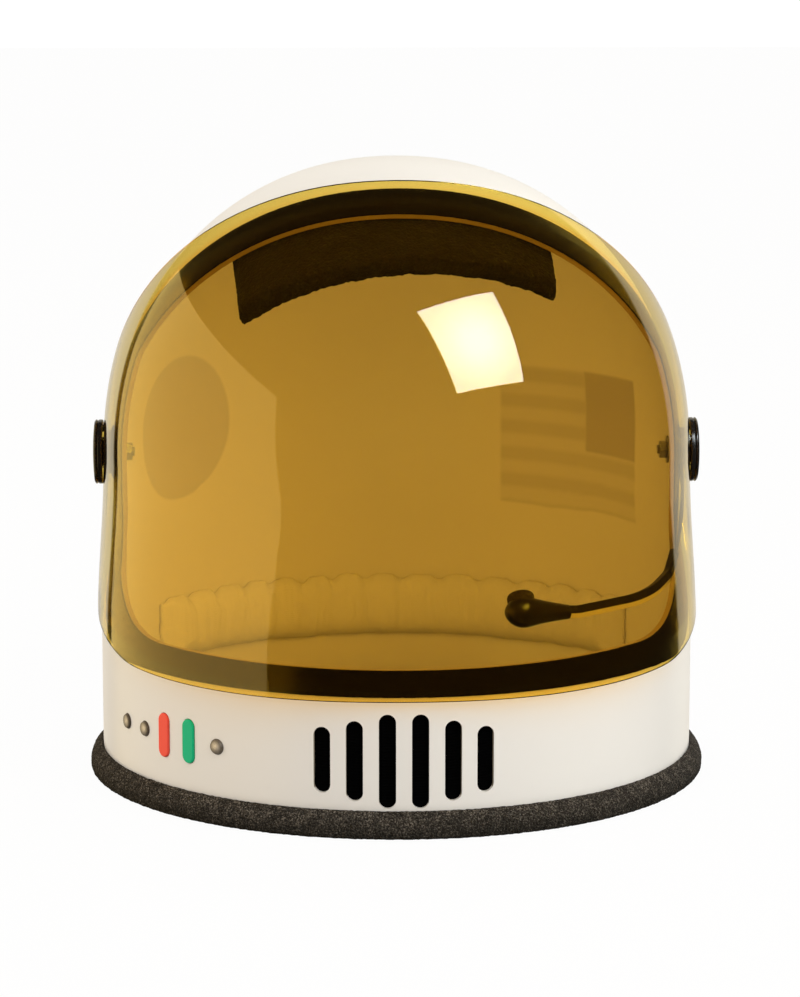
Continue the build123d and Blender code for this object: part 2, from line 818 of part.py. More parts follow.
export_step(rear_neck_pad.part, "parts/rear_neck_pad.step")
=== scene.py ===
from math import atan2, cos, pi, radians, sin, tau

import bmesh
import bpy
from mathutils import Matrix, Vector, noise


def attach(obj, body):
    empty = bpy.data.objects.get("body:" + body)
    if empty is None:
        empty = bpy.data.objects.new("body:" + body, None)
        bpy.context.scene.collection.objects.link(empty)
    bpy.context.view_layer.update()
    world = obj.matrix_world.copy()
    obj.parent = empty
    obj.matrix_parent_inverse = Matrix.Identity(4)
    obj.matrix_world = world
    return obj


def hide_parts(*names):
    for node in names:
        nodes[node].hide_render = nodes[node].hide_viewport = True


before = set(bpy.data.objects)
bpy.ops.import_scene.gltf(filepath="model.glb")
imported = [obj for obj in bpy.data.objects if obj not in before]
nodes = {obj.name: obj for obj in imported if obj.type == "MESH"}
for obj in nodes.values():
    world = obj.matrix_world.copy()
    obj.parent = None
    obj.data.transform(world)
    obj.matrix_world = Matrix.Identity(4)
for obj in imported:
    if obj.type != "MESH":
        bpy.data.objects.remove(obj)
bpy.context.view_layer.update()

# The photographer's view of the helmet, from a little above and a touch to the wearer's right.
# A long lens keeps the rim a flat oval.
camera_place = Vector((-0.0376, -1.5495, 0.394))
camera_aim = Vector((0.0016, 0.0, 0.11713))
camera_data = bpy.data.cameras.new("photo_camera")
camera_data.lens = 130.04
camera_data.sensor_width = 36.0
camera = bpy.data.objects.new("photo_camera", camera_data)
bpy.context.scene.collection.objects.link(camera)
camera.location = camera_place
camera.rotation_euler = (camera_aim - camera_place).to_track_quat("-Z", "Y").to_euler()
bpy.context.scene.camera = camera

# Shell: one moulded dome and skirt of cream-white styrene, glossy outside.
# Its wall is thin, so the badges glued on the back would show through as faint shadows inside; these shadows
# are painted on the inner side.
# The mould leaves a slight orange peel, and the foot is rubbed by the foam.
PIVOT_HEIGHT = 0.1385
SHELL_SIDE, SHELL_FRONT, SHELL_POWER = 0.1225, 0.128, 2.1
SHELL_WALL, SHELL_MIDDLE = 0.0018, (0, 0, 0.12)
FOAM_LINE, RUB_LINE = 0.0105, 0.014
ROUND_TURN, ROUND_RADIUS, ROUND_MIDDLE, ROUND_REACH = radians(-128.0), 0.0325, 0.137, 0.122
STRIPE_TURN, STRIPE_WIDTH, STRIPE_TALL, STRIPE_MIDDLE = radians(136.5), 0.082, 0.064, 0.128
BAR_PITCH, BLOCK_CORNER = 0.0126, -0.005
SHADOW_BLUR = 0.0015
shell_cream = (0.865, 0.840, 0.795)
shell_shade = (0.820, 0.785, 0.725)
shell_rubbed = (0.60, 0.55, 0.47)
shell_inside = (0.86, 0.82, 0.76)
shell_edge_shade = (0.34, 0.29, 0.22)
badge_shadow = (0.30, 0.22, 0.24)


def new_finish(name):
    """An empty material with its Principled shader and an Object coordinate to read."""
    finish = bpy.data.materials.new(name)
    finish.use_nodes = True
    shader = finish.node_tree.nodes["Principled BSDF"]
    place = finish.node_tree.nodes.new("ShaderNodeTexCoord").outputs["Object"]
    return finish, shader, place


def add_node(finish, kind, inputs=None, **settings):
    """A node with its settings and inputs; an input given a socket is linked to it."""
    node = finish.node_tree.nodes.new(kind)
    for key, value in settings.items():
        setattr(node, key, value)
    for key, value in (inputs or {}).items():
        if isinstance(value, bpy.types.NodeSocket):
            finish.node_tree.links.new(value, node.inputs[key])
        else:
            node.inputs[key].default_value = value
    return node


def sums(finish, operation, first, second):
    """One sum on two values."""
    return add_node(finish, "ShaderNodeMath", {0: first, 1: second}, operation=operation).outputs[0]


def along(finish, place, direction):
    """How far a place lies along a direction."""
    inputs = {0: place, 1: direction}
    return add_node(finish, "ShaderNodeVectorMath", inputs, operation="DOT_PRODUCT").outputs["Value"]


def away(finish, place, centre):
    """How far a place lies from a centre."""
    inputs = {0: place, 1: centre}
    return add_node(finish, "ShaderNodeVectorMath", inputs, operation="DISTANCE").outputs["Value"]


def grain(finish, place, scale, detail=3.0, roughness=0.5):
    """Cloudy noise of a given scale, in repeats to the metre."""
    inputs = {"Vector": place, "Scale": scale, "Detail": detail, "Roughness": roughness}
    return add_node(finish, "ShaderNodeTexNoise", inputs).outputs["Fac"]


def span(finish, value, low, high, to_low, to_high):
    """Value stretched from one range to another and held at its ends."""
    inputs = {0: value, 1: low, 2: high, 3: to_low, 4: to_high}
    return add_node(finish, "ShaderNodeMapRange", inputs).outputs["Result"]


def blend_colour(finish, share, first, second):
    """Colour between two others by a share from 0 to 1."""
    node = finish.node_tree.nodes.new("ShaderNodeMix")
    node.data_type = "RGBA"
    for value, socket in ((share, node.inputs[0]), (first, node.inputs[6]), (second, node.inputs[7])):
        if isinstance(value, bpy.types.NodeSocket):
            finish.node_tree.links.new(value, socket)
        else:
            socket.default_value = (*value, 1) if isinstance(value, tuple) else value
    return node.outputs[2]


def paint(finish, shader, tone, gloss):
    """Colour and roughness of a finish, each a fixed value or a pattern."""
    for value, key in ((tone, "Base Color"), (gloss, "Roughness")):
        if isinstance(value, bpy.types.NodeSocket):
            finish.node_tree.links.new(value, shader.inputs[key])
        else:
            shader.inputs[key].default_value = (*value, 1) if isinstance(value, tuple) else value


def bumps(finish, shader, height, depth, below=None):
    """Fine relief on a finish, a given depth in metres at full height."""
    inputs = {"Height": height, "Distance": depth, "Strength": 1.0}
    if below is not None:
        inputs["Normal"] = below
    normal = add_node(finish, "ShaderNodeBump", inputs).outputs["Normal"]
    finish.node_tree.links.new(normal, shader.inputs["Normal"])
    return normal


def cells_of(finish, place, scale):
    """Cells of open foam, dark at their middles, in cells to the metre."""
    inputs = {"Vector": place, "Scale": scale}
    return add_node(finish, "ShaderNodeTexVoronoi", inputs).outputs["Distance"]


def size_of(finish, value):
    """A value without its sign."""
    return sums(finish, "ABSOLUTE", value, 0)


def show(finish, share, first, second):
    """Surface mixed from two shaders by a share from 0 to 1."""
    both = add_node(finish, "ShaderNodeMixShader", {0: share, 1: first, 2: second})
    finish.node_tree.links.new(both.outputs[0], finish.node_tree.nodes["Material Output"].inputs["Surface"])


def badge_places(finish, place, turn, middle):
    """How far a place lies across and above a badge's middle."""
    across = along(finish, place, (cos(turn), sin(turn), 0))
    height = along(finish, place, (0, 0, 1))
    return across, sums(finish, "SUBTRACT", height, middle)


def bar_wave(finish, above):
    """Level waves from -1 to 1 up the striped badge."""
    return sums(finish, "SINE", sums(finish, "MULTIPLY", above, tau / BAR_PITCH), 0)


def use_finish(piece, finish):
    """The one material that the whole piece wears."""
    piece.data.materials.clear()
    piece.data.materials.append(finish)


shell_finish, shader, place = new_finish("shell_plastic")
facing = shell_finish.node_tree.nodes["Texture Coordinate"].outputs["Normal"]
from_middle = add_node(
    shell_finish, "ShaderNodeVectorMath", {0: place, 1: SHELL_MIDDLE}, operation="SUBTRACT",
).outputs["Vector"]
outness = along(shell_finish, facing, from_middle)
inward = span(shell_finish, outness, -0.004, 0.004, 1.0, 0.0)
mottle = span(shell_finish, grain(shell_finish, place, 9.0, 1.0), 0.35, 0.7, 0.0, 0.10)
height = along(shell_finish, place, (0, 0, 1))
rubbed = span(shell_finish, height, FOAM_LINE, RUB_LINE, 0.35, 0.0)
rubbed = sums(shell_finish, "MULTIPLY", rubbed, grain(shell_finish, place, 160.0, 5.0, 0.65))
tone = blend_colour(shell_finish, mottle, shell_cream, shell_shade)
tone = blend_colour(shell_finish, rubbed, tone, shell_rubbed)
# Painted shadow: the inner side is darkened in a disc and a striped rectangle behind the badges.
round_centre = (ROUND_REACH * sin(ROUND_TURN), -ROUND_REACH * cos(ROUND_TURN), ROUND_MIDDLE)
round_badge_shade = away(shell_finish, place, round_centre)
round_badge_shade = span(shell_finish, round_badge_shade, ROUND_RADIUS, ROUND_RADIUS + SHADOW_BLUR, 0.30, 0.0)
across, above = badge_places(shell_finish, place, STRIPE_TURN, STRIPE_MIDDLE)
stripe_badge_shade = 1.0
for offset, half in ((across, STRIPE_WIDTH / 2), (above, STRIPE_TALL / 2)):
    within = span(shell_finish, size_of(shell_finish, offset), half, half + SHADOW_BLUR, 1.0, 0.0)
    stripe_badge_shade = sums(shell_finish, "MULTIPLY", within, stripe_badge_shade)
outward = along(shell_finish, place, (sin(STRIPE_TURN), -cos(STRIPE_TURN), 0))
outward = span(shell_finish, outward, 0.0, 0.01, 0.0, 1.0)
stripe_badge_shade = sums(shell_finish, "MULTIPLY", stripe_badge_shade, outward)
bars = span(shell_finish, bar_wave(shell_finish, above), -0.6, 0.6, 0.14, 0.30)
block = span(shell_finish, across, BLOCK_CORNER - 0.001, BLOCK_CORNER + 0.001, 0.48, 0.0)
over = span(shell_finish, above, BLOCK_CORNER - 0.001, BLOCK_CORNER + 0.001, 0.0, 1.0)
block = sums(shell_finish, "MULTIPLY", block, over)
stripe_badge_shade = sums(shell_finish, "MULTIPLY", stripe_badge_shade, sums(shell_finish, "MAXIMUM", bars, block))
shadow = sums(shell_finish, "MULTIPLY", inward, sums(shell_finish, "ADD", round_badge_shade, stripe_badge_shade))
inner_tone = blend_colour(shell_finish, shadow, shell_inside, badge_shadow)
tone = blend_colour(shell_finish, inward, tone, inner_tone)
# Painted shade: the shell's cut edges, whose faces look neither in nor out, are darkened.
cut_edge_shade = span(shell_finish, size_of(shell_finish, outness), 0.045, 0.055, 1.0, 0.0)
tone = blend_colour(shell_finish, cut_edge_shade, tone, shell_edge_shade)
gloss = span(shell_finish, grain(shell_finish, place, 60.0, 4.0, 0.6), 0.3, 0.75, 0.285, 0.325)
paint(shell_finish, shader, tone, gloss)
bumps(shell_finish, shader, grain(shell_finish, place, 300.0, 2.0), 0.000006)
use_finish(nodes["helmet_shell"], shell_finish)

# Trim: a band of gloss black vinyl, die cut and stuck on the shell round the face opening.
# It is smooth and very dark, with fine hairline scratches along it.
trim_finish, shader, place = new_finish("trim_vinyl")
scratches = add_node(trim_finish, "ShaderNodeMapping", {"Vector": place, "Scale": (60, 60, 900)})
scratch = grain(trim_finish, scratches.outputs[0], 1.0, 6.0, 0.7)
tone = blend_colour(trim_finish, scratch, (0.006, 0.005, 0.0045), (0.011, 0.010, 0.009))
paint(trim_finish, shader, tone, span(trim_finish, scratch, 0.4, 0.75, 0.16, 0.26))
bumps(trim_finish, shader, scratch, 0.00001)
use_finish(nodes["face_opening_trim"], trim_finish)

# Visor: a thin polycarbonate bubble tinted amber gold, hard coated and mirror smooth.
# It lets lamps through in its own tint, and its two ears are clamped at the pivots.
# The bubble's own oval gives its normals above the pivots, so that mirrored edges run true.
VISOR_SIDE, VISOR_FRONT, VISOR_POWER = 0.1272, 0.134, 2.15
visor_tint, visor_smeared = (0.985, 0.745, 0.15), (0.975, 0.73, 0.14)
visor_film = (0.99, 0.76, 0.32, 1)
visor_finish, shader, place = new_finish("visor_polycarbonate")
smear = span(visor_finish, grain(visor_finish, place, 5.0, 2.0, 0.5), 0.3, 0.7, 0.0, 1.0)
paint(visor_finish, shader, blend_colour(visor_finish, smear, visor_tint, visor_smeared), 0.0)
shader.inputs["Transmission Weight"].default_value = 1.0
shader.inputs["IOR"].default_value = 1.5
rays = add_node(visor_finish, "ShaderNodeLightPath").outputs
lamp_or_bounce = sums(visor_finish, "MAXIMUM", rays["Is Shadow Ray"], rays["Is Diffuse Ray"])
film = add_node(visor_finish, "ShaderNodeBsdfTransparent", {"Color": visor_film}).outputs[0]
show(visor_finish, lamp_or_bounce, shader.outputs[0], film)


def oval_slope(finish, reach, half):
    """Steepness of the bubble's oval at a reach from its middle, for the half size that way."""
    share = sums(finish, "DIVIDE", reach, half)
    return sums(finish, "DIVIDE", sums(finish, "POWER", share, VISOR_POWER - 1), half)


split = add_node(visor_finish, "ShaderNodeSeparateXYZ", {"Vector": place}).outputs
rise = sums(visor_finish, "SUBTRACT", split["Z"], PIVOT_HEIGHT)
ring = add_node(visor_finish, "ShaderNodeCombineXYZ", {"X": 0.0, "Y": split["Y"], "Z": rise}).outputs[0]
ring_reach = away(visor_finish, ring, (0, 0, 0))
ring_slope = sums(visor_finish, "DIVIDE", oval_slope(visor_finish, ring_reach, VISOR_FRONT), ring_reach)
side_slope = oval_slope(visor_finish, size_of(visor_finish, split["X"]), VISOR_SIDE)
slopes = {
    "X": sums(visor_finish, "MULTIPLY", side_slope, sums(visor_finish, "SIGN", split["X"], 0)),
    "Y": sums(visor_finish, "MULTIPLY", split["Y"], ring_slope),
    "Z": sums(visor_finish, "MULTIPLY", rise, ring_slope),
}
oval = add_node(visor_finish, "ShaderNodeCombineXYZ", slopes).outputs[0]
oval = add_node(visor_finish, "ShaderNodeVectorMath", {0: oval}, operation="NORMALIZE").outputs["Vector"]
facing = visor_finish.node_tree.nodes["Texture Coordinate"].outputs["Normal"]
side_on = along(visor_finish, facing, oval)
inputs = {0: oval, "Scale": sums(visor_finish, "SIGN", side_on, 0)}
oval = add_node(visor_finish, "ShaderNodeVectorMath", inputs, operation="SCALE").outputs["Vector"]
skin = span(visor_finish, size_of(visor_finish, side_on), 0.93, 0.97, 0.0, 1.0)
skin = sums(visor_finish, "MULTIPLY", skin, span(visor_finish, rise, 0.0, 0.006, 0.0, 1.0))
even = add_node(visor_finish, "ShaderNodeMix", {0: skin, 4: facing, 5: oval}, data_type="VECTOR").outputs[1]
even = add_node(
    visor_finish, "ShaderNodeVectorTransform", {"Vector": even},
    vector_type="NORMAL", convert_from="OBJECT", convert_to="WORLD",
).outputs["Vector"]
visor_finish.node_tree.links.new(even, shader.inputs["Normal"])
use_finish(nodes["visor"], visor_finish)

# Pivot knobs: moulded gloss black bases and domed caps that snap into them.
# They clamp the visor's ears, with a groove between base and cap.
# Handling leaves them a little duller and greyer in patches.
knob_finish, shader, place = new_finish("knob_plastic")
handled = grain(knob_finish, place, 260.0, 5.0, 0.65)
tone = blend_colour(knob_finish, handled, (0.009, 0.008, 0.007), (0.017, 0.015, 0.013))
paint(knob_finish, shader, tone, span(knob_finish, handled, 0.35, 0.7, 0.15, 0.26))
bumps(knob_finish, shader, handled, 0.00002)
for side in ("left", "right"):
    use_finish(nodes["knob_base_" + side], knob_finish)
    use_finish(nodes["knob_cap_" + side], knob_finish)

# Pivot hardware: zinc-plated screws, nuts and washers, turned and then tumbled.
# The friction washers between hub and ear are stamped from grey nylon.
# The knobs hide all but the nuts and their washers, which show from below inside the dome.
steel_finish, shader, place = new_finish("zinc_plated_steel")
spangle = grain(steel_finish, place, 500.0, 5.0, 0.6)
tone = blend_colour(steel_finish, spangle, (0.30, 0.30, 0.31), (0.46, 0.45, 0.43))
paint(steel_finish, shader, tone, span(steel_finish, spangle, 0.3, 0.7, 0.29, 0.45))
shader.inputs["Metallic"].default_value = 1.0
bumps(steel_finish, shader, spangle, 0.00002)
for side in ("left", "right"):
    for part in ("pivot_screw_", "pivot_nut_", "inner_washer_"):
        use_finish(nodes[part + side], steel_finish)

nylon_finish, shader, place = new_finish("grey_nylon")
speck = grain(nylon_finish, place, 700.0, 4.0)
paint(nylon_finish, shader, blend_colour(nylon_finish, speck, (0.16, 0.16, 0.16), (0.26, 0.26, 0.25)), 0.5)
bumps(nylon_finish, shader, speck, 0.00003)
for side in ("left", "right"):
    use_finish(nodes["friction_washer_" + side], nylon_finish)

# Microphone boom and housing: moulded black nylon with a fine spark texture, satin.
# The boom's flat blade lies between shell and visor, and its bevelled bar enters the opening.
# Where the bevel along the bar's lower edge faces one fixed way, it is painted pale grey as a highlight.
HIGHLIGHT_FACING = Vector((0.46, -0.65, -0.55)).normalized()
boom_finish, shader, place = new_finish("boom_nylon")
facing = boom_finish.node_tree.nodes["Texture Coordinate"].outputs["Normal"]
painted_highlight = span(boom_finish, along(boom_finish, facing, tuple(HIGHLIGHT_FACING)), 0.80, 0.86, 0.0, 1.0)
speck = grain(boom_finish, place, 1400.0, 3.0)
tone = blend_colour(boom_finish, speck, (0.009, 0.008, 0.007), (0.018, 0.016, 0.014))
# Painted highlight: pale grey on the bevel faces turned that one way.
tone = blend_colour(boom_finish, painted_highlight, tone, (0.62, 0.66, 0.74))
paint(boom_finish, shader, tone, span(boom_finish, speck, 0.3, 0.7, 0.29, 0.4))
bumps(boom_finish, shader, speck, 0.00002)
use_finish(nodes["mic_boom"], boom_finish)

housing_finish, shader, place = new_finish("housing_nylon")
speck = grain(housing_finish, place, 1400.0, 3.0)
tone = blend_colour(housing_finish, speck, (0.010, 0.009, 0.008), (0.013, 0.0115, 0.0105))
paint(housing_finish, shader, tone, span(housing_finish, speck, 0.3, 0.7, 0.30, 0.36))
bumps(housing_finish, shader, speck, 0.000004)
for name in ("mic_housing", "pivot_spacer_right"):
    use_finish(nodes[name], housing_finish)

capsule_finish, shader, place = new_finish("capsule_foam")
cells = cells_of(capsule_finish, place, 1100.0)
tone = blend_colour(capsule_finish, cells, (0.006, 0.005, 0.005), (0.040, 0.034, 0.028))
paint(capsule_finish, shader, tone, 0.8)
bumps(capsule_finish, shader, cells, 0.0002)
use_finish(nodes["mic_capsule"], capsule_finish)

# Vent screen: a strip of black woven mesh, cut from sheet and heat-staked behind the slots.
# Its threads are too fine and dark to tell apart from the front.
screen_finish, shader, place = new_finish("screen_mesh")
weave = add_node(screen_finish, "ShaderNodeTexWave", {"Vector": place, "Scale": 260.0}, bands_direction="Z")
tone = blend_colour(screen_finish, weave.outputs["Fac"], (0.0003, 0.0003, 0.0003), (0.0010, 0.0010, 0.0010))
paint(screen_finish, shader, tone, 0.95)
shader.inputs["Specular IOR Level"].default_value = 0.02
bumps(screen_finish, shader, weave.outputs["Fac"], 0.0001)
use_finish(nodes["vent_screen"], screen_finish)

# Indicator lenses: one red and one green acrylic capsule, moulded in their colour.
# Each is pushed through the wall from inside as far as its flange.
for name, light, deep in (
    ("indicator_red", (1.0, 0.105, 0.070), (0.97, 0.092, 0.060)),
    ("indicator_green", (0.002, 0.54, 0.255), (0.002, 0.48, 0.225)),
):
    lens_finish, shader, place = new_finish(name + "_acrylic")
    cloud = grain(lens_finish, place, 140.0, 3.0)
    paint(lens_finish, shader, blend_colour(lens_finish, cloud, light, deep), 0.34)
    shader.inputs["Specular IOR Level"].default_value = 0.25
    bumps(lens_finish, shader, grain(lens_finish, place, 900.0, 2.0), 0.00001)
    use_finish(nodes[name], lens_finish)

# Studs: three domed rivets pressed from thin steel, with painted dome shading: light at their middles and
# dark round their rims.
# They are spread behind the wall.
STUD_TURNS = (radians(-63.5), radians(-56.4), radians(-36.4))
STUD_REACH, STUD_MIDDLE, STUD_RADIUS = 0.129, 0.032, 0.0034
stud_finish, shader, place = new_finish("stud_metal")
from_axis = 1.0
for turn in STUD_TURNS:
    centre = (STUD_REACH * sin(turn), -STUD_REACH * cos(turn), STUD_MIDDLE)
    from_axis = sums(stud_finish, "MINIMUM", from_axis, away(stud_finish, place, centre))
dome_shade_and_height = span(stud_finish, from_axis, 0.0008, STUD_RADIUS, 0.0, 1.0)
tarnish = grain(stud_finish, place, 900.0, 5.0, 0.65)
# Painted shade and highlight: each stud is light at its middle and dark round its rim, as on a lit dome.
tone = blend_colour(stud_finish, dome_shade_and_height, (0.82, 0.73, 0.62), (0.060, 0.046, 0.032))
tone = blend_colour(stud_finish, span(stud_finish, tarnish, 0.4, 0.7, 0.0, 0.4), tone, (0.10, 0.080, 0.060))
paint(stud_finish, shader, tone, 0.45)
shader.inputs["Metallic"].default_value = 0.35
bumps(stud_finish, shader, sums(stud_finish, "MULTIPLY", dome_shade_and_height, -1.0), 0.0012)
use_finish(nodes["indicator_studs"], stud_finish)

# Badges on the back: a blue disc with a pale rim and belt, and a striped rectangle with a blue block.
# Both are printed on thin woven cloth with a stitched edge, and glued on the shell.
ROUND_BLUE, ROUND_PALE = (0.018, 0.045, 0.20), (0.60, 0.61, 0.62)
STRIPE_RED, STRIPE_PALE = (0.42, 0.025, 0.03), (0.66, 0.64, 0.60)
RIM_LINE, RIM_MARGIN, BELT_HALF, HEM = 0.0031, 0.0011, 0.0051, 0.0017
PRINT_BLUR = 0.0001
THREADS = 420.0


def stitched(finish, shader, place, tone):
    """Woven cloth in a tone, with threads in relief both ways."""
    inputs = {"Vector": place, "Scale": THREADS}
    rows = add_node(finish, "ShaderNodeTexWave", inputs, bands_direction="Z").outputs["Fac"]
    columns = add_node(finish, "ShaderNodeTexWave", inputs, bands_direction="X").outputs["Fac"]
    weave = sums(finish, "ADD", rows, columns)
    tone = blend_colour(finish, span(finish, weave, 0.4, 1.6, 0.16, 0.0), tone, (0.02, 0.02, 0.02))
    paint(finish, shader, tone, 0.75)
    bumps(finish, shader, weave, 0.00006)


def beyond(finish, value, limit):
    """1 where a value is past a limit and 0 short of it, with a print's thin blur."""
    return span(finish, value, limit - PRINT_BLUR, limit + PRINT_BLUR, 0.0, 1.0)


disc_finish, shader, place = new_finish("round_badge_cloth")
across, above = badge_places(disc_finish, place, ROUND_TURN, ROUND_MIDDLE)
spot = add_node(disc_finish, "ShaderNodeCombineXYZ", {"X": across, "Y": above}).outputs[0]
reach = away(disc_finish, spot, (0, 0, 0))
edge = beyond(disc_finish, reach, ROUND_RADIUS - RIM_LINE)
edge = sums(disc_finish, "SUBTRACT", edge, beyond(disc_finish, reach, ROUND_RADIUS - RIM_MARGIN))
belt = sums(disc_finish, "SUBTRACT", 1.0, beyond(disc_finish, size_of(disc_finish, above), BELT_HALF))
tone = blend_colour(disc_finish, sums(disc_finish, "MAXIMUM", edge, belt), ROUND_BLUE, ROUND_PALE)
stitched(disc_finish, shader, place, tone)
use_finish(nodes["round_patch"], disc_finish)

flag_finish, shader, place = new_finish("striped_badge_cloth")
across, above = badge_places(flag_finish, place, STRIPE_TURN, STRIPE_MIDDLE)
bars = span(flag_finish, bar_wave(flag_finish, above), -0.05, 0.05, 0.0, 1.0)
tone = blend_colour(flag_finish, bars, STRIPE_PALE, STRIPE_RED)
beside = sums(flag_finish, "SUBTRACT", 1.0, beyond(flag_finish, across, BLOCK_CORNER))
block = sums(flag_finish, "MULTIPLY", beside, beyond(flag_finish, above, BLOCK_CORNER))
tone = blend_colour(flag_finish, block, tone, ROUND_BLUE)
hems = [
    beyond(flag_finish, size_of(flag_finish, offset), half - HEM)
    for offset, half in ((across, STRIPE_WIDTH / 2), (above, STRIPE_TALL / 2))
]
edge = sums(flag_finish, "MAXIMUM", hems[0], hems[1])
stitched(flag_finish, shader, place, blend_colour(flag_finish, edge, tone, STRIPE_PALE))
use_finish(nodes["stripe_patch"], flag_finish)

# Rim roll: a strip of charcoal open-cell foam slit along its top, pushed over the shell's foot.
# It is cut and glued into a ring, and its skin is torn cells.
# The slit grips the wall, and its outer lip falls away in a quarter round.
RIM_INNER, RIM_OUTER, RIM_SHOULDER, RIM_LIP, RIM_HEIGHT = 0.1205, 0.1345, 0.0065, 0.1303, 0.0109
SLIT_INNER, SLIT_OUTER, SLIT_FLOOR = 0.1269, 0.1293, 0.0037
RIM_ROUNDING = (0.0025, 0.0014, 0.0030, 0.0003, 0.0042)
RIM_STEPS = 720
RIM_CELL, RIM_TEAR = 0.0011, 0.00028
MERGE = 0.00001


def finished_piece(name, mesh_data, finish, body):
    """A new piece made from a bmesh, in place, dressed and riding on its body."""
    mesh = bpy.data.meshes.new(name)
    mesh_data.to_mesh(mesh)
    mesh_data.free()
    mesh.polygons.foreach_set("use_smooth", [True] * len(mesh.polygons))
    piece = bpy.data.objects.new(name, mesh)
    bpy.context.scene.collection.objects.link(piece)
    use_finish(piece, finish)
    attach(piece, body)
    return piece


def torn_cells(mesh_data, size, depth, seed):
    """Pushes each point in or out by fine noise, as torn foam cells do."""
    shift = Vector((seed, seed * 2, seed * 3))
    mesh_data.normal_update()
    for point in mesh_data.verts:
        push = noise.noise(point.co / size + shift) + 0.5 * noise.noise(point.co / size * 2.3 + shift)
        point.co += point.normal * push * depth


rim = bmesh.new()
section = (
    (RIM_INNER, 0), (RIM_OUTER, 0), (RIM_OUTER, RIM_SHOULDER),
    (RIM_LIP, RIM_HEIGHT), (SLIT_OUTER, RIM_HEIGHT), (SLIT_OUTER, SLIT_FLOOR),
    (SLIT_INNER, SLIT_FLOOR), (SLIT_INNER, RIM_HEIGHT), (RIM_INNER, RIM_HEIGHT),
)
corners = [rim.verts.new((reach, 0, rise)) for reach, rise in section]
rim.faces.new(corners)
for corner, rounding in zip(corners[:4] + corners[8:], RIM_ROUNDING):
    bmesh.ops.bevel(
        rim, geom=[corner], offset=rounding, segments=6, profile=0.5, affect="VERTICES", material=-1,
    )
bmesh.ops.subdivide_edges(rim, edges=[edge for edge in rim.edges if edge.calc_length() > 0.0015], cuts=5)
bmesh.ops.delete(rim, geom=list(rim.faces), context="FACES_ONLY")
bmesh.ops.spin(
    rim, geom=list(rim.verts) + list(rim.edges), cent=(0, 0, 0), axis=(0, 0, 1), angle=tau,
    steps=RIM_STEPS, use_merge=True,
)
bmesh.ops.remove_doubles(rim, verts=rim.verts, dist=MERGE)
bmesh.ops.recalc_face_normals(rim, faces=rim.faces)
torn_cells(rim, RIM_CELL, RIM_TEAR, 1.0)
for point in rim.verts:
    point.co.z = max(point.co.z, 0.0)

foam_finish, shader, place = new_finish("rim_foam")
cells = cells_of(foam_finish, place, 900.0)
flecks = grain(foam_finish, place, 1500.0, 3.0, 0.7)
patchy = grain(foam_finish, place, 240.0, 4.0, 0.7)
deep = span(foam_finish, cells, 0.1, 0.8, 0.0, 1.0)
tone = blend_colour(foam_finish, deep, (0.005, 0.004, 0.003), (0.045, 0.036, 0.026))
tone = blend_colour(foam_finish, span(foam_finish, flecks, 0.50, 0.66, 0.0, 0.9), tone, (0.34, 0.29, 0.23))
tone = blend_colour(foam_finish, span(foam_finish, patchy, 0.42, 0.62, 0.6, 0.0), tone, (0.009, 0.007, 0.005))
# Painted shade: the foam is darkened towards its bottom, where it stands on the floor.
low = span(foam_finish, along(foam_finish, place, (0, 0, 1)), 0.001, 0.008, 0.65, 0.0)
tone = blend_colour(foam_finish, low, tone, (0.007, 0.0055, 0.003))
paint(foam_finish, shader, tone, 0.95)
shader.inputs["Specular IOR Level"].default_value = 0.2
bumps(foam_finish, shader, sums(foam_finish, "ADD", cells, flecks), 0.0009)
rim_roll = finished_piece("rim_foam_roll", rim, foam_finish, "root")
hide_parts("neck_trim")

# Brow strip and crown disc: black open-cell foam pads stuck inside the dome.
# They are cut from sheet, so their edges are square and rough and their faces furry.
# The strip is stuck on a little askew.
PAD_GAP, PAD_THICK, PAD_CUT = 0.0004, 0.0086, 0.0080
PAD_CELL, PAD_DENT, PAD_TEAR = 0.0016, 0.0060, 0.0004
PAD_CORNER, PAD_ROUNDING = 0.004, 0.0016
UPRIGHT = 0.001
STRIP_SIZE, STRIP_LEAN, STRIP_TURN, STRIP_SHIFT = (0.131, 0.057), radians(29.8), radians(4.5), -0.003
DISC_RADIUS, DISC_SETBACK = 0.0475, 0.022


def dome_point(forward, across, along_dome, depth):
    """Point inside the dome: turned forward from the top, out by along_dome, and in by depth."""
    side = SHELL_SIDE - SHELL_WALL - PAD_GAP - depth
    front = SHELL_FRONT - SHELL_WALL - PAD_GAP - depth
    reach = front * (1 - (abs(across) / side) ** SHELL_POWER) ** (1 / SHELL_POWER)
    out = (reach ** 2 - along_dome ** 2) ** 0.5
    return Vector((
        across,
        -sin(forward) * out + cos(forward) * along_dome,
        PIVOT_HEIGHT + cos(forward) * out + sin(forward) * along_dome,
    ))


def foam_block(pad, forward, setback, voxel, seed):
    """Bends a flat block onto the inside of the dome, after an even remesh."""
    mesh = bpy.data.meshes.new("foam_block")
    pad.to_mesh(mesh)
    pad.free()
    block = bpy.data.objects.new("foam_block", mesh)
    bpy.context.scene.collection.objects.link(block)
    remesh = block.modifiers.new("even", "REMESH")
    remesh.mode = "VOXEL"
    remesh.voxel_size = voxel
    bpy.context.view_layer.update()
    even = bpy.data.meshes.new_from_object(block.evaluated_get(bpy.context.evaluated_depsgraph_get()))
    bpy.data.objects.remove(block)
    bent = bmesh.new()
    bent.from_mesh(even)
    torn_cells(bent, PAD_CELL, PAD_TEAR, seed)
    torn_cells(bent, PAD_DENT, PAD_TEAR, seed + 1)
    for point in bent.verts:
        point.co = dome_point(forward, point.co.x, point.co.y + setback, max(-point.co.z, 0.0))
    bmesh.ops.recalc_face_normals(bent, faces=bent.faces)
    return bent


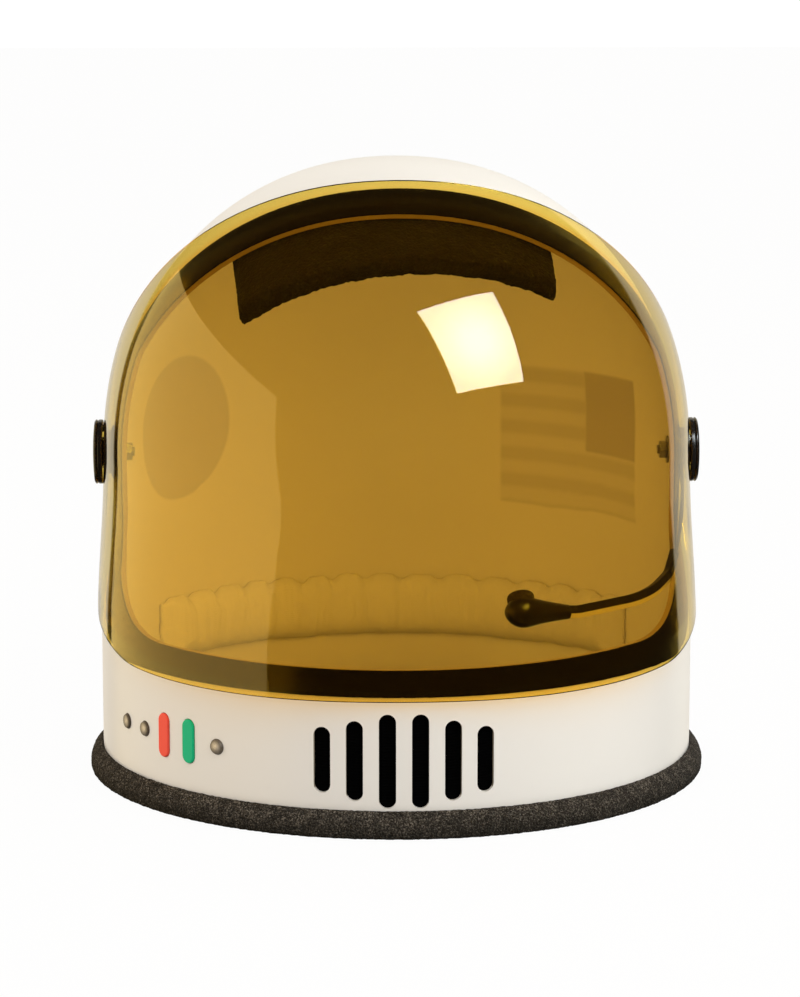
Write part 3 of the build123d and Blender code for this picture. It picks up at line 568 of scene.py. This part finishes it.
def upright(edge):
    """Whether an edge of a flat block runs from its lower to its upper face."""
    return abs(edge.verts[0].co.z - edge.verts[1].co.z) > UPRIGHT


def soften(pad):
    """Rounds the upper and lower edges of a flat block and hangs it below its own middle."""
    rims = [edge for edge in pad.edges if not upright(edge)]
    bmesh.ops.bevel(
        pad, geom=rims, offset=PAD_ROUNDING, segments=3, profile=0.5, affect="EDGES", material=-1,
    )
    bmesh.ops.translate(pad, verts=pad.verts, vec=(0, 0, -PAD_THICK / 2))


pad_finish, shader, place = new_finish("pad_foam")
cells = cells_of(pad_finish, place, 900.0)
tone = blend_colour(pad_finish, cells, (0.002, 0.002, 0.002), (0.011, 0.010, 0.008))
paint(pad_finish, shader, tone, 0.95)
bumps(pad_finish, shader, cells, 0.0004)

strip = bmesh.new()
bmesh.ops.create_cube(strip, size=1.0, matrix=Matrix.Diagonal((*STRIP_SIZE, PAD_CUT, 1)))
posts = [edge for edge in strip.edges if upright(edge)]
bmesh.ops.bevel(
    strip, geom=posts, offset=PAD_CORNER, segments=4, profile=0.5, affect="EDGES", material=-1,
)
soften(strip)
bmesh.ops.rotate(strip, verts=strip.verts, cent=(0, 0, 0), matrix=Matrix.Rotation(STRIP_TURN, 3, "Z"))
bmesh.ops.translate(strip, verts=strip.verts, vec=(STRIP_SHIFT, 0, 0))
strip = foam_block(strip, STRIP_LEAN, 0.0, 0.001, 4.0)
brow_pad = finished_piece("brow_foam_strip", strip, pad_finish, "root")
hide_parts("forehead_pad")

disc = bmesh.new()
bmesh.ops.create_cone(
    disc, cap_ends=True, segments=96, radius1=DISC_RADIUS, radius2=DISC_RADIUS, depth=PAD_CUT,
)
soften(disc)
disc = foam_block(disc, 0.0, DISC_SETBACK, 0.0013, 9.0)
crown_disc = finished_piece("crown_foam_disc", disc, pad_finish, "root")
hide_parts("crown_pad")

# Neck band: a soft tube of cream knit with an elastic sewn in, round the back of the skirt.
# The elastic gathers its cloth into pleats, so its upper edge runs in small waves.
# Its ends are tacked to the shell.
BAND_OUTER, BAND_LOW, BAND_HIGH, BAND_THICK, BAND_SLACK = 0.1268, 0.0303, 0.0588, 0.0088, 0.0004
BAND_START, BAND_SWEEP = radians(122.0 - 90.0), radians(360.0 - 2 * 122.0)
BAND_ROUNDING = 0.003
BAND_STEPS, BAND_PLEATS = 480, 15
PLEAT_DIP, PLEAT_FOLD, BAND_CROWN, BAND_TAPER = 0.0024, 0.0008, 0.0052, 0.08

band = bmesh.new()
half_thick, half_high = BAND_THICK / 2 - BAND_SLACK, (BAND_HIGH - BAND_LOW) / 2
band_middle, band_rise = BAND_OUTER - BAND_THICK / 2, (BAND_LOW + BAND_HIGH) / 2
corners = [
    band.verts.new((band_middle + out * half_thick, 0, band_rise + up * half_high))
    for out, up in ((-1, -1), (1, -1), (1, 1), (-1, 1))
]
band.faces.new(corners)
bmesh.ops.bevel(
    band, geom=corners, offset=BAND_ROUNDING, segments=5, profile=0.5, affect="VERTICES", material=-1,
)
bmesh.ops.subdivide_edges(band, edges=[edge for edge in band.edges if edge.calc_length() > 0.002], cuts=11)
bmesh.ops.rotate(band, verts=band.verts, cent=(0, 0, 0), matrix=Matrix.Rotation(BAND_START, 3, "Z"))
bmesh.ops.spin(
    band, geom=list(band.faces), cent=(0, 0, 0), axis=(0, 0, 1), angle=BAND_SWEEP, steps=BAND_STEPS,
)
bmesh.ops.remove_doubles(band, verts=band.verts, dist=MERGE)
bmesh.ops.recalc_face_normals(band, faces=band.faces)
for point in band.verts:
    turned = (atan2(point.co.y, point.co.x) - BAND_START) / BAND_SWEEP
    valley = (0.5 + 0.5 * cos(tau * BAND_PLEATS * turned + 1.2 * sin(9 * turned))) ** 3
    level = (point.co.z - band_rise) / half_high
    upness = max(level, 0.0)
    reach = Vector((point.co.x, point.co.y, 0)).length
    inness = (BAND_OUTER - reach) / BAND_THICK
    crease = noise.noise(Vector((turned * 90, point.co.z * 60, 3.0)))
    tacked = max(1 - min(turned, 1 - turned) / BAND_TAPER, 0.0) ** 2
    crown = BAND_CROWN * max(abs(level) ** 3, 1.25 * tacked)
    out = 1 + (valley * PLEAT_FOLD + crease * 0.0005 + crown) * inness / reach
    point.co = Vector((point.co.x * out, point.co.y * out, point.co.z - valley * PLEAT_DIP * upness ** 2))

knit_finish, shader, place = new_finish("neck_knit")
rows = add_node(knit_finish, "ShaderNodeTexWave", {"Vector": place, "Scale": 330.0}, bands_direction="Z")
stitches = grain(knit_finish, place, 1200.0, 2.0)
tone = blend_colour(knit_finish, stitches, (0.80, 0.76, 0.68), (0.88, 0.85, 0.79))
paint(knit_finish, shader, tone, 0.9)
bumps(knit_finish, shader, sums(knit_finish, "ADD", rows.outputs["Fac"], stitches), 0.00005)
neck_band = finished_piece("gathered_neck_band", band, knit_finish, "root")
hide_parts("rear_neck_pad")

# Studio: a white floor and sweep, with a soft shadow under the foam, and level light from lamps.
# Only the visor shows two cards: a bright window at the wearer's front left, and a long
# gold-papered card on the other side. A small lamp inside brightens the dome's back.
floor_mesh = bmesh.new()
bmesh.ops.create_grid(floor_mesh, x_segments=1, y_segments=1, size=6.0)
mesh = bpy.data.meshes.new("studio_floor")
floor_mesh.to_mesh(mesh)
floor_mesh.free()
floor = bpy.data.objects.new("studio_floor", mesh)
bpy.context.scene.collection.objects.link(floor)
floor_finish, shader, place = new_finish("studio_floor")
paint(floor_finish, shader, (0.50, 0.49, 0.47), 0.9)
shader.inputs["Specular IOR Level"].default_value = 0.0
rays = add_node(floor_finish, "ShaderNodeLightPath").outputs
white = add_node(floor_finish, "ShaderNodeEmission", {"Color": (1, 1, 1, 1), "Strength": 1.03})
white_share = sums(floor_finish, "MULTIPLY", rays["Is Camera Ray"], 0.93)
show(floor_finish, white_share, shader.outputs[0], white.outputs[0])
use_finish(floor, floor_finish)
floor.visible_glossy = False
floor.visible_transmission = False

FILL_COLOUR, FILL_STRENGTH = (1.0, 0.92, 0.84), 0.78
BACKDROP_COLOUR, BACKDROP_MIRRORED, BACKDROP_THROUGH, BACKDROP_SEEN = (1.0, 0.93, 0.80), 0.85, 0.50, 1.02
world = bpy.data.worlds.new("studio_world")
bpy.context.scene.world = world
world.use_nodes = True
rays = add_node(world, "ShaderNodeLightPath").outputs
sky = add_node(world, "ShaderNodeTexCoord").outputs["Generated"]
behind = span(world, along(world, sky, (0.13, 1, 0)), 0.765, 0.785, 0.015, 1.0)
mirrored = sums(world, "MULTIPLY", behind, BACKDROP_MIRRORED)
straight = span(world, rays["Glossy Depth"], 0.0, 1.0, 1.0, 0.0)
through = sums(world, "MULTIPLY", sums(world, "MAXIMUM", behind, straight), BACKDROP_THROUGH)
strength = span(world, rays["Is Glossy Ray"], 0.0, 1.0, FILL_STRENGTH, mirrored)
strength = span(world, rays["Is Transmission Ray"], 0.0, 1.0, strength, through)
strength = span(world, rays["Is Camera Ray"], 0.0, 1.0, strength, BACKDROP_SEEN)
shown = sums(world, "MAXIMUM", rays["Is Glossy Ray"], rays["Is Transmission Ray"])
tone = blend_colour(world, shown, FILL_COLOUR, BACKDROP_COLOUR)
tone = blend_colour(world, rays["Is Camera Ray"], tone, (1.0, 1.0, 1.0))
background = world.node_tree.nodes["Background"]
world.node_tree.links.new(tone, background.inputs["Color"])
world.node_tree.links.new(strength, background.inputs["Strength"])


def aimed(stand, turn, rise, distance):
    """Sets a lamp or card on its stand, turn degrees from the front towards the left ear."""
    turn, rise = radians(turn), radians(rise)
    out = Vector((sin(turn) * cos(rise), -cos(turn) * cos(rise), sin(rise)))
    stand.location = Vector((0, 0, PIVOT_HEIGHT)) + out * distance
    stand.rotation_euler = out.to_track_quat("Z", "Y").to_euler()


def softbox(name, width, tall, radiance, colour):
    """A rectangular lamp, which mirrors don't show."""
    lamp = bpy.data.lights.new(name, "AREA")
    lamp.shape = "RECTANGLE"
    lamp.size, lamp.size_y = width, tall
    lamp.energy = radiance * pi * width * tall
    lamp.color = colour
    stand = bpy.data.objects.new(name, lamp)
    bpy.context.scene.collection.objects.link(stand)
    for ray in ("camera", "glossy", "transmission"):
        setattr(stand, "visible_" + ray, False)
    return stand


def mirror_card(name, width, tall, middle, edge, centre_strength, edge_strength):
    """A glowing card that only mirrors show, paler at its middle than at its edge."""
    card_mesh = bmesh.new()
    bmesh.ops.create_grid(card_mesh, x_segments=1, y_segments=1, size=0.5)
    bmesh.ops.scale(card_mesh, vec=(width, tall, 1), verts=card_mesh.verts)
    mesh = bpy.data.meshes.new(name)
    card_mesh.to_mesh(mesh)
    card_mesh.free()
    card = bpy.data.objects.new(name, mesh)
    bpy.context.scene.collection.objects.link(card)
    finish, shader, place = new_finish(name)
    share = span(finish, away(finish, place, (0, 0, 0)), 0.15 * width, 0.6 * width, 0.0, 1.0)
    inputs = {
        "Color": blend_colour(finish, share, middle, edge),
        "Strength": span(finish, share, 0.0, 1.0, centre_strength, edge_strength),
    }
    glow = add_node(finish, "ShaderNodeEmission", inputs)
    finish.node_tree.links.new(glow.outputs[0], finish.node_tree.nodes["Material Output"].inputs["Surface"])
    use_finish(card, finish)
    for ray in ("camera", "diffuse", "volume_scatter", "shadow"):
        setattr(card, "visible_" + ray, False)
    return card


KEY_STAND, KEY_SIZE = (34.0, 45.0, 1.6), (0.76, 0.92)
LEFT_CARD_SLANT = 0.4
COOL_WHITE, COOL_EDGE, GOLD_PAPER = (0.95, 1.0, 1.0), (0.86, 0.95, 1.0), (1.0, 0.79, 0.36)
aimed(softbox("key_softbox", *KEY_SIZE, 2.6, (0.88, 0.96, 1.0)), *KEY_STAND)
aimed(softbox("side_softbox", 1.2, 0.8, 2.5, (0.90, 0.97, 1.0)), 60.0, 12.0, 1.5)
aimed(softbox("left_bounce", 1.2, 0.8, 1.6, (1.0, 0.92, 0.82)), -85.0, 8.0, 1.4)
aimed(softbox("top_softbox", 1.4, 1.0, 0.85, (0.86, 0.96, 1.0)), 170.0, 75.0, 1.6)
dome_fill = softbox("dome_fill", 0.16, 0.13, 0.88, (1.0, 1.0, 1.0))
dome_fill.location = (-0.012, -0.070, 0.126)
dome_fill.rotation_euler = (radians(72), 0, 0)
aimed(mirror_card("key_window", *KEY_SIZE, COOL_WHITE, COOL_EDGE, 17.5, 11.5), *KEY_STAND)
left_card = mirror_card("left_card", 2.54, 1.60, GOLD_PAPER, GOLD_PAPER, 1.22, 1.18)
for point in left_card.data.vertices:
    if point.co.x < 0 and point.co.y < 0:
        point.co.x -= LEFT_CARD_SLANT
left_card.location = (-1.2, 0.13, 0.07)
left_card.rotation_euler = (pi / 2, 0, pi / 2)

bpy.context.scene.view_settings.view_transform = "Standard"
